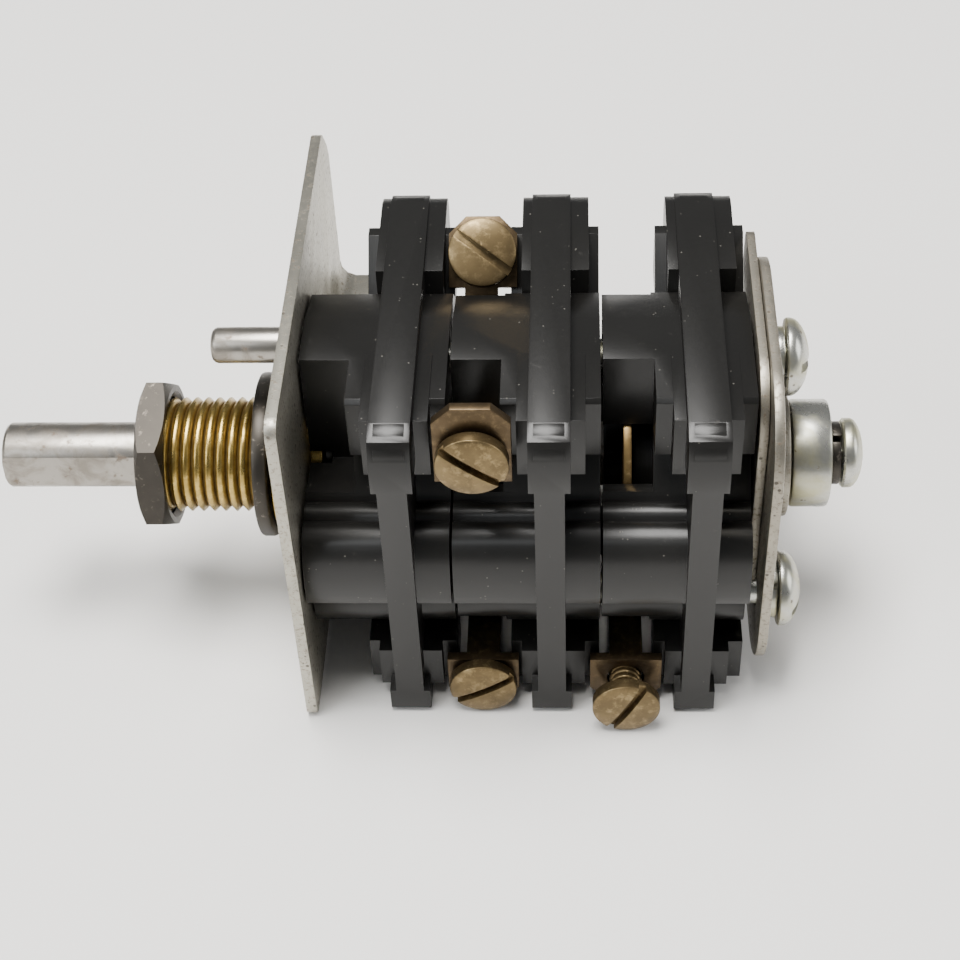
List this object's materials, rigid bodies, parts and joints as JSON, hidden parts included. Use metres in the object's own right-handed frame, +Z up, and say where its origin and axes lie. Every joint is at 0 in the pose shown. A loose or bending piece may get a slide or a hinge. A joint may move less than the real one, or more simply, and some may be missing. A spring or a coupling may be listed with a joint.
{
  "type": "panel-mounted multi-deck rotary switch with knife-type blades",
  "caption": "Panel-mounted rotary switch: threaded bushing and shaft at one end, stacked black moulded decks with barrier ribs and screw terminals, steel end plates.",
  "frame": {"origin": "centre of the standing face, under the middle of the whole switch", "axes": "+X along the shaft towards the rear end screw, -Y the side with the front terminals, +Z up from the feet"},
  "size_m": [0.1064, 0.0612, 0.0492],
  "materials": {
    "plated_steel": "zinc plated, yellowish stain",
    "phenolic": "satin moulded, dusty",
    "blade_brass": "wiped bright",
    "terminal_brass": "tarnished brown",
    "spring_steel": "hardened, oiled",
    "dark_steel": "blackened, worn edges",
    "shaft_steel": "turned steel, mottled tarnish",
    "plate_steel": "dull plated sheet, brown speckle",
    "thread_brass": "golden, dirt in the thread roots"
  },
  "bodies": {
    "switch_frame": {"bolt_lock_washer_1": "plated_steel", "bolt_lock_washer_2": "plated_steel", "bolt_lock_washer_3": "plated_steel", "deck_1_housing": "phenolic", "deck_2_contact_high_back": "terminal_brass", "deck_2_contact_high_front": "terminal_brass", "deck_2_contact_low_front": "terminal_brass", "deck_2_housing": "phenolic", "deck_3_contact_low_back": "terminal_brass", "deck_3_contact_low_front": "terminal_brass", "deck_3_housing": "phenolic", "detent_ball_1": "spring_steel", "detent_ball_2": "spring_steel", "detent_spring_1": "spring_steel", "detent_spring_2": "spring_steel", "locating_pin": "shaft_steel", "mounting_plate": "plate_steel", "panel_washer": "dark_steel", "rear_inner_plate": "plate_steel", "rear_outer_plate": "plate_steel", "threaded_bushing": "thread_brass", "through_bolt_1": "plated_steel", "through_bolt_2": "plated_steel", "through_bolt_3": "plated_steel"},
    "spindle": {"shaft": "shaft_steel", "detent_wheel": "spring_steel", "deck_2_rotor": "phenolic", "deck_2_blade": "blade_brass", "deck_3_rotor": "phenolic", "deck_3_blade": "blade_brass", "rear_washer": "plate_steel", "rear_collar": "plated_steel", "end_lock_washer": "dark_steel", "end_screw": "plated_steel"},
    "nut": {"mounting_nut": "dark_steel"},
    "deck_2_screw_high_back": {"deck_2_screw_high_back": "terminal_brass"},
    "deck_2_screw_high_front": {"deck_2_screw_high_front": "terminal_brass"},
    "deck_2_screw_low_front": {"deck_2_screw_low_front": "terminal_brass"},
    "deck_3_screw_low_back": {"deck_3_screw_low_back": "terminal_brass"},
    "deck_3_screw_low_front": {"deck_3_screw_low_front": "terminal_brass"}
  },
  "joints": [
    {"name": "shaft_turn", "type": "hinge", "parent": "switch_frame", "child": "spindle", "pos_m": [-0.05321, -0.0044, 0.0226], "axis": [1, 0, 0], "range_deg": [0, 90]},
    {"name": "nut_travel", "type": "slide", "parent": "switch_frame", "child": "nut", "axis": [1, 0, 0], "range_m": [-0.02, 0.0106]},
    {"name": "deck_2_screw_high_back_travel", "type": "slide", "parent": "switch_frame", "child": "deck_2_screw_high_back", "axis": [0, -0.7071, 0.7071], "range_m": [0, 0.004]},
    {"name": "deck_2_screw_high_front_travel", "type": "slide", "parent": "switch_frame", "child": "deck_2_screw_high_front", "axis": [0, -1, 0], "range_m": [0, 0.004]},
    {"name": "deck_2_screw_low_front_travel", "type": "slide", "parent": "switch_frame", "child": "deck_2_screw_low_front", "axis": [0, -1, 0], "range_m": [0, 0.004]},
    {"name": "deck_3_screw_low_back_travel", "type": "slide", "parent": "switch_frame", "child": "deck_3_screw_low_back", "axis": [0, 1, 0], "range_m": [0, 0.004]},
    {"name": "deck_3_screw_low_front_travel", "type": "slide", "parent": "switch_frame", "child": "deck_3_screw_low_front", "axis": [0, -1, 0], "range_m": [-0.0027, 0.003]}
  ]
}
